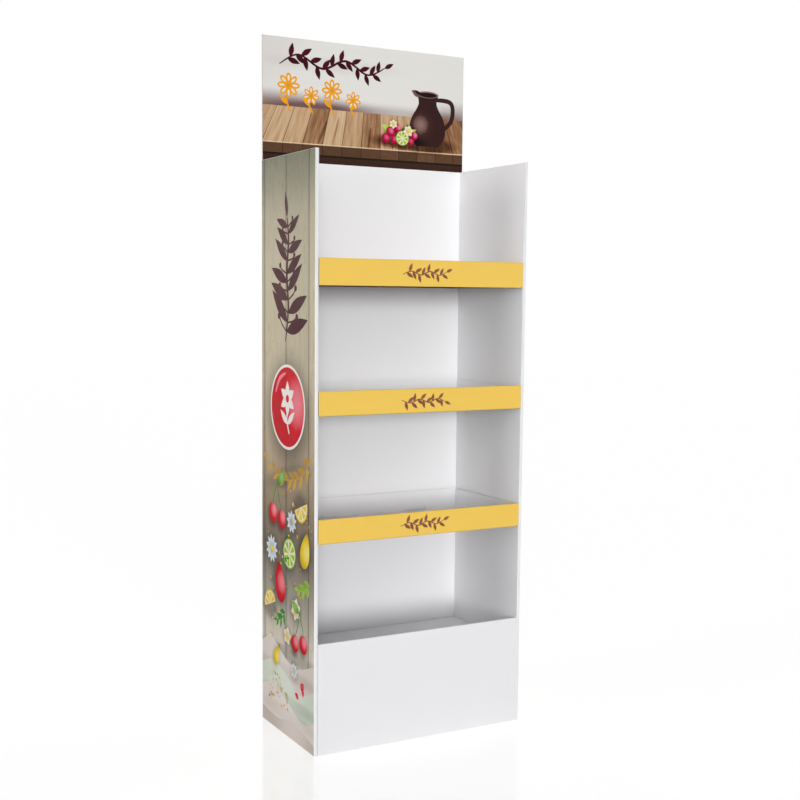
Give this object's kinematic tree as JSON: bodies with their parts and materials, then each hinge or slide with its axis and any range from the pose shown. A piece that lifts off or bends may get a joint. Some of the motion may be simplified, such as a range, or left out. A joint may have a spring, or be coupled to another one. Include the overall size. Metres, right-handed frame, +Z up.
{
  "type": "cardboard display stand",
  "caption": "Tall free-standing display stand of folded corrugated board, with double side walls, lipped shelf trays, a base tray and a printed header card.",
  "frame": {"origin": "on the ground, at the centre of the footprint", "axes": "+Z up, +X to the stand's right seen from the front, the open front faces -Y"},
  "size_m": [0.6, 0.33, 1.785],
  "materials": {
    "shell_board": "matte",
    "header_print": "satin",
    "shelf_board": "matte",
    "base_board": "matte",
    "kraft_board": "matte"
  },
  "bodies": {
    "root": {"body_shell": "shell_board", "header_card": "header_print", "shelf_upper": "shelf_board", "shelf_middle": "shelf_board", "shelf_lower": "shelf_board", "base_tray": "base_board", "base_divider_long": "kraft_board", "base_divider_left": "kraft_board", "base_divider_right": "kraft_board"}
  },
  "joints": []
}
